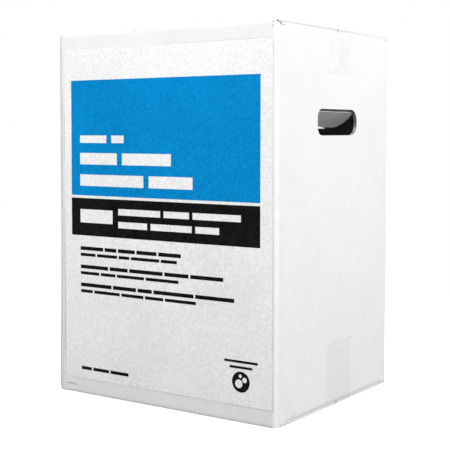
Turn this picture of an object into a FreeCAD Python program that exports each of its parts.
"""Washing powder box: a tall case of white corrugated board, taped shut over a bag of powder.

All sizes are in millimetres.
The origin is at the middle of the underside and +Z points up.
The front panel with its printed label faces -Y, and the side panel with the open hand hole faces +X.
"""
import FreeCAD, Part
import os
import math
import Sketcher
from FreeCAD import Placement, Rotation, Vector

# Each driving size is a word, its value and what it measures.
SIZES = (
    ("case_width", 330, "front panel, outside, along X"),
    ("case_depth", 273, "side panel, outside, along Y"),
    ("case_height", 457, "outside, from the bottom flaps to the top flaps"),
    ("board", 4, "thickness of the corrugated board"),
    ("upright_fold_radius", 5, "outside of the four upright folds"),
    ("flap_fold_radius", 4.5, "outside of the folds at the top and bottom"),
    ("inner_fold_radius", 0.8, "inside of every fold"),
    ("flap_seam_gap", 2, "between the two long flaps where they meet"),
    ("flap_clearance", 0.3, "between a long flap and the short flap under it"),
    ("long_flap_inset", 2, "ends of the long flaps, in from the side panels' faces"),
    ("slot_length", 14, "corner slot along the side panel"),
    ("slot_drop", 3, "corner slot below the fold of the short flap, at the top"),
    ("glue_lap_width", 35, "strip glued inside the left panel"),
    ("glue_lap_end_gap", 8, "ends of the glued strip, in from the flap folds"),
    ("seam_setback", 2.5, "raw edge of the left panel, in from the back"),
    ("seam_fold_radius", 2, "outside of the back panel's fold at the glued corner"),
    ("hole_length", 98, "hand hole along Y"),
    ("hole_height", 31.5, "hand hole along Z"),
    ("hole_drop", 96.4, "top of the hand hole below the top of the case"),
    ("hole_leading_radius", 10, "corners at one end of the hand hole"),
    ("hole_trailing_radius", 14.5, "corners at the other end"),
    ("tab_kerf", 0.5, "cut between a tab and the edge of its hole"),
    ("crease_gap", 0.2, "between a tab and the wall above its crease"),
    ("tab_tilt", 53, "degrees that a tab is pushed in"),
    ("tape_width", 60, "packaging tape"),
    ("tape_film", 0.2, "thickness of the tape with its glue"),
    ("tape_shift", 5.5, "middle of the tape behind the middle of the case"),
    ("top_tape_lap", 53, "top tape down each side panel"),
    ("bottom_tape_lap", 79, "bottom tape up each side panel"),
    ("label_left_margin", 9, "bare board at the label's left"),
    ("label_right_margin", 6, "bare board at the label's right"),
    ("label_bottom_margin", 19, "bare board under the label"),
    ("label_top_margin", 19, "bare board over the label"),
    ("label_paper", 0.2, "thickness of the glued label"),
    ("ink_film", 0.1, "thickness that stands for the ink"),
    ("print_left", 21.3, "left edge of the printed fields, from the case's left"),
    ("print_right", 23.2, "right edge of the printed fields, from the case's right"),
    ("blue_drop", 40, "top of the blue field below the label's top"),
    ("blue_height", 144.5, "blue field"),
    ("field_gap", 3.5, "between the blue field and the black band"),
    ("black_height", 47.3, "black band"),
    ("line_left", 36, "left edge of the printed lines, from the case's left"),
    ("band_line_left", 99, "left edge of the lines beside the block on the black band"),
    ("title_gap", 8, "between two bars of a title line"),
    ("word_gap", 5, "between two bars of a line on the black band"),
    ("note_gap", 2.6, "between two bars of a small line"),
    ("emblem_right", 49.4, "middle of the emblem from the case's right"),
    ("emblem_base", 28, "middle of the emblem above the label's foot"),
    ("emblem_radius", 12.1, "disc of the emblem"),
    ("bag_wall_gap", 1, "bag to the walls, or at its sides to the glued strip's face"),
    ("bag_floor_gap", 0.3, "bag to the short bottom flaps"),
    ("bag_below_holes", 12.5, "top of the powder below the hand holes"),
    ("bag_upright_radius", 24, "upright corners of the bag"),
    ("bag_crown_radius", 20, "rounding at the top of the bag"),
    ("bag_foot_radius", 8, "rounding at the foot of the bag"),
    ("gather_radius", 58, "foot of the gathered film on top of the bag"),
    ("gather_height", 20, "gathered film below the tie"),
    ("gather_waist", 26, "radius where the gathered film turns steep"),
    ("gather_waist_rise", 7, "that turn above the top of the powder"),
    ("neck_radius", 9, "twisted neck of the bag"),
    ("tuft_radius", 21, "loose film above the tie"),
    ("tuft_height", 26, "loose film above the tie"),
    ("tuft_waist", 15, "radius where the loose film turns upright"),
    ("tuft_waist_rise", 9, "that turn above the tie"),
    ("tie_width", 4.8, "strap of the tie"),
    ("tie_strap", 1.4, "thickness of the strap"),
    ("tie_head", 8, "head of the tie, each way"),
    ("tie_tail", 30, "free end of the tie"),
)

# Expressions that several pieces share.
CASE_FOOT = "sizes.tape_film"
CASE_TOP = "(sizes.tape_film + sizes.case_height)"
HALF_WIDTH = "(sizes.case_width / 2)"
HALF_DEPTH = "(sizes.case_depth / 2)"
SHORT_FLAP_DROP = "(sizes.board + sizes.flap_clearance)"
SIDE_FOOT = f"({CASE_FOOT} + {SHORT_FLAP_DROP})"
SIDE_TOP = f"({CASE_TOP} - {SHORT_FLAP_DROP})"
FLAP_REACH = f"({HALF_DEPTH} - sizes.flap_seam_gap / 2)"
HOLE_TOP = f"({CASE_TOP} - sizes.hole_drop)"
LABEL_FACE = f"({HALF_DEPTH} + sizes.label_paper)"
LABEL_FOOT = f"({CASE_FOOT} + sizes.label_bottom_margin)"
LABEL_TOP = f"({CASE_TOP} - sizes.label_top_margin)"
PRINT_WIDTH = "(sizes.case_width - sizes.print_left - sizes.print_right)"
BLUE_TOP = f"({LABEL_TOP} - sizes.blue_drop)"
BLUE_FOOT = f"({BLUE_TOP} - sizes.blue_height)"
BLACK_TOP = f"({BLUE_FOOT} - sizes.field_gap)"
BLACK_FOOT = f"({BLACK_TOP} - sizes.black_height)"
EMBLEM_ACROSS = f"({HALF_WIDTH} - sizes.emblem_right)"
EMBLEM_UP = f"({LABEL_FOOT} + sizes.emblem_base)"
BAG_FOOT = f"({SIDE_FOOT} + sizes.board + sizes.bag_floor_gap)"
BAG_TOP = f"({HOLE_TOP} - sizes.hole_height - sizes.bag_below_holes)"
TIE_BASE = f"({BAG_TOP} + sizes.gather_height)"
TIE_TOP = f"({TIE_BASE} + sizes.tie_width)"
# A cut of this length, half each way, passes through the whole case.
THROUGH = "(3 * sizes.case_height)"

# The printed lines are rows of plain bars: the row's foot, the bars' height, and the bars' lengths
# in percent of the printed fields' width. Each group of rows names what its feet are measured from.
TITLE_ROWS_ABOVE_BLUE_FOOT = (
    (66.0, 9.5, (15.4, 7.0)),
    (39.0, 14.5, (21.4, 26.6)),
    (12.0, 14.5, (36.1, 23.1)),
)
BLOCK_ABOVE_BLACK_FOOT = (
    (16.3, 17.0, (18.9,)),
)
ROWS_ABOVE_BLACK_FOOT = (
    (27.9, 8.0, (23.1, 13.3, 23.8)),
    (11.9, 8.0, (16.1, 21.7, 11.9)),
)
NOTES_ABOVE_BLACK_FOOT = (
    (-18.7, 4.6, (13.3, 6.7, 9.5, 10.9, 11.9)),
    (-26.3, 3.8, (8.8, 11.6, 6.0, 15.4, 8.4)),
    (-42.1, 4.6, (16.1, 10.2, 18.2, 12.6, 16.5)),
    (-49.7, 3.8, (10.9, 8.4, 15.1, 17.5)),
    (-65.1, 4.6, (17.9, 13.0, 7.7, 21.0, 19.3)),
    (-72.7, 3.8, (7.0, 14.7, 12.3, 9.8, 16.1)),
)
NOTES_ABOVE_LABEL_FOOT = (
    (12.0, 4.0, (6.0, 9.1, 10.2)),
)
# Two short lines stand over the emblem, each centred there.
ROWS_ABOVE_EMBLEM = (
    (22.0, 2.8, 16.1),
    (15.4, 2.8, 10.9),
)
# Bare rings of paper in the emblem stand for bubbles: across, up and radius, as shares of the disc's radius.
BUBBLES = (
    (-0.24, -0.18, 0.42),
    (0.42, 0.22, 0.26),
    (-0.06, 0.56, 0.17),
)

# The document holds the sheet of sizes, and every piece is bound to it.
doc = FreeCAD.newDocument("washing_powder_box")
sheet = doc.addObject("Spreadsheet::Sheet", "sizes")
for row, (alias, number, meaning) in enumerate(SIZES, start=1):
    sheet.set(f"A{row}", alias)
    sheet.set(f"B{row}", str(number))
    sheet.set(f"C{row}", meaning)
    sheet.setAlias(f"B{row}", alias)
doc.recompute()


def number_of(expression):
    """Value of an expression on the sheet, for the place where a sketch starts."""
    return float(sheet.evalExpression(expression.replace("sizes.", "")))


def new_body(label):
    """Body for one piece of the case."""
    body = doc.addObject("PartDesign::Body", label)
    body.Label = label
    return body


def new_sketch(body, role, name, offset="0"):
    """Sketch on one of the body's own planes, moved along that plane's normal."""
    plane = [feature for feature in body.Origin.OriginFeatures if feature.Role == role][0]
    sketch = body.newObject("Sketcher::SketchObject", name)
    sketch.AttachmentSupport = [(plane, "")]
    sketch.MapMode = "FlatFace"
    sketch.setExpression("AttachmentOffset.Base.z", offset)
    return sketch


def bind(sketch, constraint, expression):
    """Add a constraint and tie its value to the sheet."""
    index = sketch.addConstraint(constraint)
    sketch.setExpression(f"Constraints[{index}]", expression)


def pin(sketch, geometry, end, across, up):
    """Hold one point of a sketch at two expressions."""
    bind(sketch, Sketcher.Constraint("DistanceX", -1, 1, geometry, end, number_of(across)), across)
    bind(sketch, Sketcher.Constraint("DistanceY", -1, 1, geometry, end, number_of(up)), up)


def polygon(sketch, corners):
    """Closed loop of straight lines through corners that are given as pairs of expressions."""
    points = [Vector(number_of(across), number_of(up), 0) for across, up in corners]
    count = len(points)
    lines = [
        sketch.addGeometry(Part.LineSegment(points[index], points[(index + 1) % count]), False)
        for index in range(count)
    ]
    for index in range(count):
        following = lines[(index + 1) % count]
        sketch.addConstraint(Sketcher.Constraint("Coincident", lines[index], 2, following, 1))
    for line, (across, up) in zip(lines, corners):
        pin(sketch, line, 1, across, up)


def rectangle(sketch, left, base, right, top):
    """Upright rectangle between four expressions."""
    polygon(sketch, ((left, base), (right, base), (right, top), (left, top)))


def circle(sketch, across, up, radius):
    """Circle with its middle and radius tied to the sheet."""
    middle = Vector(number_of(across), number_of(up), 0)
    ring = sketch.addGeometry(Part.Circle(middle, Vector(0, 0, 1), number_of(radius)), False)
    pin(sketch, ring, 3, across, up)
    bind(sketch, Sketcher.Constraint("Radius", ring, number_of(radius)), radius)


def rounded_outline(sketch, corners):
    """Closed loop of upright and level lines, with an arc at each corner that names a radius.

    A corner is its place across, its place up and its radius or None, as expressions.
    Neighbouring corners share the expression of the line between them.
    """
    count = len(corners)
    points = [Vector(number_of(across), number_of(up), 0) for across, up, radius in corners]
    radii = [number_of(radius) if radius else 0.0 for across, up, radius in corners]
    ways = [(points[(index + 1) % count] - points[index]).normalize() for index in range(count)]
    lines = []
    for index in range(count):
        following = (index + 1) % count
        start = points[index] + ways[index] * radii[index]
        stop = points[following] - ways[index] * radii[following]
        line = sketch.addGeometry(Part.LineSegment(start, stop), False)
        level = corners[index][1] == corners[following][1]
        sketch.addConstraint(Sketcher.Constraint("Horizontal" if level else "Vertical", line))
        along = "DistanceY" if level else "DistanceX"
        expression = corners[index][1] if level else corners[index][0]
        bind(sketch, Sketcher.Constraint(along, -1, 1, line, 1, number_of(expression)), expression)
        lines.append(line)
    for index in range(count):
        before = lines[index - 1]
        after = lines[index]
        radius = radii[index]
        if not radius:
            sketch.addConstraint(Sketcher.Constraint("Coincident", before, 2, after, 1))
            continue
        arriving = ways[index - 1]
        leaving = ways[index]
        middle = points[index] - arriving * radius + leaving * radius
        turns_left = arriving.cross(leaving).z > 0
        first = -leaving if turns_left else arriving
        start_angle = math.atan2(first.y, first.x)
        ring = Part.Circle(middle, Vector(0, 0, 1), radius)
        arc = sketch.addGeometry(Part.ArcOfCircle(ring, start_angle, start_angle + math.pi / 2), False)
        near_end, far_end = (1, 2) if turns_left else (2, 1)
        sketch.addConstraint(Sketcher.Constraint("Tangent", before, 2, arc, near_end))
        sketch.addConstraint(Sketcher.Constraint("Tangent", arc, far_end, after, 1))
        bind(sketch, Sketcher.Constraint("Radius", arc, radius), corners[index][2])


def rounded_rectangle(sketch, half_across, half_up, radius):
    """Rectangle about the sketch's origin with four equal corners."""
    rounded_outline(sketch, (
        (f"-{half_across}", f"-{half_up}", radius),
        (half_across, f"-{half_up}", radius),
        (half_across, half_up, radius),
        (f"-{half_across}", half_up, radius),
    ))


def pad(body, name, sketch, length, both_ways=False):
    """Pad a sketch along its normal, or the same length in all, half each way."""
    feature = body.newObject("PartDesign::Pad", name)
    feature.Profile = (sketch, [""])
    feature.setExpression("Length", length)
    feature.SideType = "Symmetric" if both_ways else "One side"
    doc.recompute()
    return feature


def pocket(body, name, sketch, length, both_ways=False, forwards=False):
    """Cut a sketch out, against its normal unless forwards, or half the length each way."""
    before = body.Tip.Shape.Volume
    feature = body.newObject("PartDesign::Pocket", name)
    feature.Profile = (sketch, [""])
    feature.setExpression("Length", length)
    feature.SideType = "Symmetric" if both_ways else "One side"
    feature.Reversed = forwards
    doc.recompute()
    if feature.Shape.Volume >= before:
        raise RuntimeError(f"{name} cuts nothing")
    return feature


def channel(sketch, outer, toward, foot, top):
    """Section of a wall with its two flaps: a channel open on the side that toward points to."""
    inner = f"({outer} + {toward} * sizes.board)"
    tip = f"({outer} + {toward} * {FLAP_REACH})"
    upper_inside = f"({top} - sizes.board)"
    lower_inside = f"({foot} + sizes.board)"
    rounded_outline(sketch, (
        (outer, foot, "sizes.flap_fold_radius"),
        (outer, top, "sizes.flap_fold_radius"),
        (tip, top, None),
        (tip, upper_inside, None),
        (inner, upper_inside, "sizes.inner_fold_radius"),
        (inner, lower_inside, "sizes.inner_fold_radius"),
        (tip, lower_inside, None),
        (tip, foot, None),
    ))


def hand_hole_outline(sketch, foot, top, half_length, leading_radius, trailing_radius):
    """Outline of a hand hole or its tab, with its own rounding at each end."""
    rounded_outline(sketch, (
        (f"-{half_length}", foot, leading_radius),
        (half_length, foot, trailing_radius),
        (half_length, top, trailing_radius),
        (f"-{half_length}", top, leading_radius),
    ))


# The carton is one sheet of board, folded up round the bag and glued along one upright corner.
carton = new_body("carton")

# Four walls between the corner slots, with the soft outside radius of a creased fold.
walls = new_sketch(carton, "XY_Plane", "walls", SIDE_FOOT)
rounded_rectangle(walls, HALF_WIDTH, HALF_DEPTH, "sizes.upright_fold_radius")
rounded_rectangle(
    walls, f"({HALF_WIDTH} - sizes.board)", f"({HALF_DEPTH} - sizes.board)", "sizes.inner_fold_radius"
)
pad(carton, "wall_ring", walls, f"{SIDE_TOP} - {SIDE_FOOT} - sizes.slot_drop")

# Front and back walls carry the long flaps, which meet under the tape.
long_sides = new_sketch(carton, "YZ_Plane", "long_flap_sections")
channel(long_sides, f"(-{HALF_DEPTH})", "1", CASE_FOOT, CASE_TOP)
channel(long_sides, HALF_DEPTH, "-1", CASE_FOOT, CASE_TOP)
pad(carton, "long_flaps", long_sides, "sizes.case_width - 2 * sizes.long_flap_inset", both_ways=True)

# Side walls carry the short flaps, a board lower, which don't reach each other.
short_sides = new_sketch(carton, "XZ_Plane", "short_flap_sections")
channel(short_sides, f"(-{HALF_WIDTH})", "1", SIDE_FOOT, SIDE_TOP)
channel(short_sides, HALF_WIDTH, "-1", SIDE_FOOT, SIDE_TOP)
pad(carton, "short_flaps", short_sides, "sizes.case_depth - 2 * sizes.slot_length", both_ways=True)

# The ends of the long folds follow the rounding of the upright folds.
trim = new_sketch(carton, "XY_Plane", "upright_fold_trim")
around = f"({HALF_WIDTH} + sizes.case_depth)"
rectangle(trim, f"-{around}", f"-{around}", around, around)
rounded_rectangle(trim, HALF_WIDTH, HALF_DEPTH, "sizes.upright_fold_radius")
pocket(carton, "rounded_ends", trim, THROUGH, both_ways=True)

# At the glued corner the left panel ends in a raw edge, and the back panel folds behind it.
seam = new_sketch(carton, "XY_Plane", "seam_cut")
beyond_left = f"(-{HALF_WIDTH} - sizes.board)"
beyond_back = f"({HALF_DEPTH} + sizes.board)"
raw_edge = f"({HALF_DEPTH} - sizes.seam_setback)"
lap_face = f"(-{HALF_WIDTH} + sizes.board)"
fold_end = f"({lap_face} + sizes.seam_fold_radius)"
rounded_outline(seam, (
    (beyond_left, raw_edge, None),
    (lap_face, raw_edge, None),
    (lap_face, HALF_DEPTH, "sizes.seam_fold_radius"),
    (f"({fold_end} + sizes.board)", HALF_DEPTH, None),
    (f"({fold_end} + sizes.board)", beyond_back, None),
    (beyond_left, beyond_back, None),
))
pocket(carton, "raw_seam", seam, THROUGH, both_ways=True)

# The lap is the back panel's own strip, folded round the corner and glued inside the left panel.
lap = new_sketch(carton, "XY_Plane", "glue_lap_plan", f"{SIDE_FOOT} + sizes.glue_lap_end_gap")
rectangle(
    lap,
    lap_face,
    f"({HALF_DEPTH} - sizes.glue_lap_width)",
    f"({lap_face} + sizes.board)",
    f"({HALF_DEPTH} - sizes.board)",
)
pad(carton, "glue_lap", lap, f"{SIDE_TOP} - {SIDE_FOOT} - sizes.slot_drop - 2 * sizes.glue_lap_end_gap")

# Both side panels have the same hand hole, a half turn apart because one die cut both.
hole = new_sketch(carton, "YZ_Plane", "hand_hole")
hand_hole_outline(
    hole,
    f"({HOLE_TOP} - sizes.hole_height)",
    HOLE_TOP,
    "(sizes.hole_length / 2)",
    "sizes.hole_leading_radius",
    "sizes.hole_trailing_radius",
)
right_hole = pocket(carton, "right_hand_hole", hole, "sizes.case_width", forwards=True)
holes = carton.newObject("PartDesign::PolarPattern", "hand_holes")
holes.Originals = [right_hole]
holes.Axis = ([feature for feature in carton.Origin.OriginFeatures if feature.Role == "Z_Axis"][0], [""])
holes.Angle = 360
holes.Occurrences = 2
carton.Tip = holes
doc.recompute()


def hand_hole_tab(label, side, leading_radius, trailing_radius):
    """Flap of one hand hole, hinged at the inner edge of its crease and pushed into the case."""
    body = new_body(label)
    plan = new_sketch(body, "YZ_Plane", f"{label}_outline")
    hand_hole_outline(
        plan,
        "(-sizes.hole_height + sizes.tab_kerf)",
        "(-sizes.crease_gap)",
        "(sizes.hole_length / 2 - sizes.tab_kerf)",
        f"({leading_radius} - sizes.tab_kerf)",
        f"({trailing_radius} - sizes.tab_kerf)",
    )
    flap = pad(body, f"{label}_board", plan, "sizes.board")
    flap.Reversed = side < 0
    body.Placement = Placement(Vector(0, 0, 0), Rotation(Vector(0, side, 0), 1))
    body.setExpression("Placement.Base.x", f"{side} * ({HALF_WIDTH} - sizes.board)")
    body.setExpression("Placement.Base.z", HOLE_TOP)
    body.setExpression("Placement.Rotation.Angle", "sizes.tab_tilt")
    return body


tab_right = hand_hole_tab(
    "hand_hole_tab_right", 1, "sizes.hole_leading_radius", "sizes.hole_trailing_radius"
)
tab_left = hand_hole_tab(
    "hand_hole_tab_left", -1, "sizes.hole_trailing_radius", "sizes.hole_leading_radius"
)


def tape(label, face, lap_end, outward):
    """Strip of tape over a pair of flaps and down both side panels, bent round the flaps' ends.

    face is the level of the flaps, and outward is 1 above the case and -1 under it.
    """
    body = new_body(label)
    section = new_sketch(body, "XZ_Plane", f"{label}_section")
    outer_face = f"({face} + {outward} * sizes.tape_film)"
    outer_side = f"({HALF_WIDTH} + sizes.tape_film)"
    outer_bend = "(sizes.long_flap_inset + sizes.tape_film)"
    rounded_outline(section, (
        (f"-{HALF_WIDTH}", lap_end, None),
        (f"-{HALF_WIDTH}", face, "sizes.long_flap_inset"),
        (HALF_WIDTH, face, "sizes.long_flap_inset"),
        (HALF_WIDTH, lap_end, None),
        (outer_side, lap_end, None),
        (outer_side, outer_face, outer_bend),
        (f"-{outer_side}", outer_face, outer_bend),
        (f"-{outer_side}", lap_end, None),
    ))
    pad(body, f"{label}_strip", section, "sizes.tape_width", both_ways=True)
    body.setExpression("Placement.Base.y", "sizes.tape_shift")
    return body


top_tape = tape("top_tape", CASE_TOP, f"({CASE_TOP} - sizes.top_tape_lap)", 1)
bottom_tape = tape("bottom_tape", CASE_FOOT, f"({CASE_FOOT} + sizes.bottom_tape_lap)", -1)


def from_left(distance):
    """Place across the front, from the case's left edge."""
    return f"({distance} - {HALF_WIDTH})"


def share_of_print(percent):
    """Length of so many percent of the printed fields' width."""
    return f"({percent} / 100 * {PRINT_WIDTH})"


def bars(sketch, rows, foot, left, gap):
    """Rows of plain bars that stand for printed lines, one bar for each word."""
    for rise, height, lengths in rows:
        for index, length in enumerate(lengths):
            start = f"({left} + {share_of_print(sum(lengths[:index]))} + {index} * {gap})"
            rectangle(
                sketch,
                from_left(start),
                f"({foot} + {rise})",
                from_left(f"({start} + {share_of_print(length)})"),
                f"({foot} + {rise} + {height})",
            )


# The label is a printed sheet that covers the front panel almost from edge to edge.
front_label = new_body("front_label")
label_plan = new_sketch(front_label, "XZ_Plane", "label_plan", HALF_DEPTH)
rectangle(
    label_plan,
    from_left("sizes.label_left_margin"),
    LABEL_FOOT,
    f"({HALF_WIDTH} - sizes.label_right_margin)",
    LABEL_TOP,
)
pad(front_label, "label_sheet", label_plan, "sizes.label_paper")

# The blue field has its title lines left bare, so the paper shows through them.
label_blue_field = new_body("label_blue_field")
blue_plan = new_sketch(label_blue_field, "XZ_Plane", "blue_plan", LABEL_FACE)
rectangle(
    blue_plan,
    from_left("sizes.print_left"),
    BLUE_FOOT,
    f"({HALF_WIDTH} - sizes.print_right)",
    BLUE_TOP,
)
bars(blue_plan, TITLE_ROWS_ABOVE_BLUE_FOOT, BLUE_FOOT, "sizes.line_left", "sizes.title_gap")
pad(label_blue_field, "blue_ink", blue_plan, "sizes.ink_film")

# The black band has a large block at its left and two lines beside it, left bare as well.
label_black_band = new_body("label_black_band")
band_plan = new_sketch(label_black_band, "XZ_Plane", "band_plan", LABEL_FACE)
rectangle(
    band_plan,
    from_left("sizes.print_left"),
    BLACK_FOOT,
    f"({HALF_WIDTH} - sizes.print_right)",
    BLACK_TOP,
)
bars(band_plan, BLOCK_ABOVE_BLACK_FOOT, BLACK_FOOT, "sizes.line_left", "sizes.word_gap")
bars(band_plan, ROWS_ABOVE_BLACK_FOOT, BLACK_FOOT, "sizes.band_line_left", "sizes.word_gap")
pad(label_black_band, "band_ink", band_plan, "sizes.ink_film")

# Small lines are dark bars on the bare paper. They are separate solids of one print.
label_dark_lines = doc.addObject("Part::Compound", "label_dark_lines")
label_dark_lines.Label = "label_dark_lines"
dark_bars = []


def dark_bar(left, foot, percent, height):
    """One bar of dark ink on the label."""
    bar = doc.addObject("Part::Box", f"dark_bar_{len(dark_bars)}")
    bar.setExpression("Length", share_of_print(percent))
    bar.setExpression("Width", "sizes.ink_film")
    bar.setExpression("Height", str(height))
    bar.setExpression("Placement.Base.x", left)
    bar.setExpression("Placement.Base.y", f"-{LABEL_FACE} - sizes.ink_film")
    bar.setExpression("Placement.Base.z", foot)
    dark_bars.append(bar)


for foot, rows in ((BLACK_FOOT, NOTES_ABOVE_BLACK_FOOT), (LABEL_FOOT, NOTES_ABOVE_LABEL_FOOT)):
    for rise, height, lengths in rows:
        for index, length in enumerate(lengths):
            start = f"(sizes.line_left + {share_of_print(sum(lengths[:index]))} + {index} * sizes.note_gap)"
            dark_bar(from_left(start), f"({foot} + {rise})", length, height)
for rise, height, length in ROWS_ABOVE_EMBLEM:
    dark_bar(f"({EMBLEM_ACROSS} - {share_of_print(length)} / 2)", f"({EMBLEM_UP} + {rise})", length, height)
label_dark_lines.Links = dark_bars

# The emblem is a dark disc with three bubbles left bare.
label_emblem = new_body("label_emblem")
emblem_plan = new_sketch(label_emblem, "XZ_Plane", "emblem_plan", LABEL_FACE)
circle(emblem_plan, EMBLEM_ACROSS, EMBLEM_UP, "sizes.emblem_radius")
for across, up, radius in BUBBLES:
    circle(
        emblem_plan,
        f"({EMBLEM_ACROSS} + {across} * sizes.emblem_radius)",
        f"({EMBLEM_UP} + {up} * sizes.emblem_radius)",
        f"({radius} * sizes.emblem_radius)",
    )
pad(label_emblem, "emblem_ink", emblem_plan, "sizes.ink_film")

# The bag of powder fills the case up to below the hand holes. Its film is gathered and tied on top.
liner_bag = new_body("liner_bag")
bag_plan = new_sketch(liner_bag, "XY_Plane", "bag_plan", BAG_FOOT)
rounded_rectangle(
    bag_plan,
    f"({HALF_WIDTH} - 2 * sizes.board - sizes.bag_wall_gap)",
    f"({HALF_DEPTH} - sizes.board - sizes.bag_wall_gap)",
    "sizes.bag_upright_radius",
)
pad(liner_bag, "bag_block", bag_plan, f"({BAG_TOP} - {BAG_FOOT})")


def round_level_edges(body, name, level, radius):
    """Round the edges of the body's last feature that lie at one height."""
    base = body.Tip
    height = number_of(level)
    names = [
        f"Edge{index}"
        for index, edge in enumerate(base.Shape.Edges, start=1)
        if all(abs(vertex.Z - height) < 0.001 for vertex in edge.Vertexes)
    ]
    feature = body.newObject("PartDesign::Fillet", name)
    feature.Base = (base, names)
    feature.setExpression("Radius", radius)
    doc.recompute()


round_level_edges(liner_bag, "bag_crown", BAG_TOP, "sizes.bag_crown_radius")
round_level_edges(liner_bag, "bag_foot", BAG_FOOT, "sizes.bag_foot_radius")
neck_section = new_sketch(liner_bag, "XZ_Plane", "neck_section")
polygon(neck_section, (
    ("0", f"({BAG_TOP} - sizes.bag_crown_radius / 2)"),
    ("sizes.gather_radius", f"({BAG_TOP} - sizes.bag_crown_radius / 2)"),
    ("sizes.gather_radius", BAG_TOP),
    ("sizes.gather_waist", f"({BAG_TOP} + sizes.gather_waist_rise)"),
    ("sizes.neck_radius", TIE_BASE),
    ("sizes.neck_radius", TIE_TOP),
    ("sizes.tuft_waist", f"({TIE_TOP} + sizes.tuft_waist_rise)"),
    ("sizes.tuft_radius", f"({TIE_TOP} + sizes.tuft_height)"),
    ("0", f"({TIE_TOP} + sizes.tuft_height)"),
))
neck = liner_bag.newObject("PartDesign::Revolution", "gathered_neck")
neck.Profile = (neck_section, [""])
neck.ReferenceAxis = (neck_section, ["V_Axis"])
neck.Angle = 360
doc.recompute()

# The tie is a strap round the neck with a head and a free end.
bag_tie = new_body("bag_tie")
strap_plan = new_sketch(bag_tie, "XY_Plane", "strap_plan", TIE_BASE)
strap_radius = "(sizes.neck_radius + sizes.tie_strap)"
circle(strap_plan, "0", "0", strap_radius)
circle(strap_plan, "0", "0", "sizes.neck_radius")
pad(bag_tie, "strap", strap_plan, "sizes.tie_width")
head_plan = new_sketch(bag_tie, "XY_Plane", "head_plan", TIE_BASE)
head_near = "(sizes.neck_radius + sizes.tie_strap / 2)"
rectangle(
    head_plan,
    head_near,
    "(-sizes.tie_head / 2)",
    f"({head_near} + sizes.tie_head)",
    "(sizes.tie_head / 2)",
)
pad(bag_tie, "head", head_plan, "sizes.tie_width")
tail_plan = new_sketch(bag_tie, "XY_Plane", "tail_plan", TIE_BASE)
rectangle(
    tail_plan,
    f"({head_near} + sizes.tie_head / 2)",
    "(sizes.tie_head / 4)",
    f"({head_near} + sizes.tie_head / 2 + sizes.tie_strap)",
    "(sizes.tie_head / 4 + sizes.tie_tail)",
)
pad(bag_tie, "tail", tail_plan, "sizes.tie_width")

PIECES = (
    carton,
    tab_right,
    tab_left,
    top_tape,
    bottom_tape,
    front_label,
    label_blue_field,
    label_black_band,
    label_dark_lines,
    label_emblem,
    liner_bag,
    bag_tie,
)

# Nothing is written unless every object worked and every piece is a sound solid.
doc.recompute()
for item in doc.Objects:
    if {"Invalid", "Error"} & set(item.State):
        raise RuntimeError(f"{item.Name} failed")
for piece in PIECES:
    if piece.Shape.isNull() or not piece.Shape.isValid() or not piece.Shape.Solids:
        raise RuntimeError(f"{piece.Label} is not a sound solid")
os.makedirs("parts", exist_ok=True)
for piece in PIECES:
    piece.Shape.exportStep(f"parts/{piece.Label}.step")
    box = piece.Shape.BoundBox
    print(f"{piece.Label}: {len(piece.Shape.Solids)} solids, {piece.Shape.Volume / 1000:.1f} cm3,"
          f" z {box.ZMin:.1f} to {box.ZMax:.1f}")
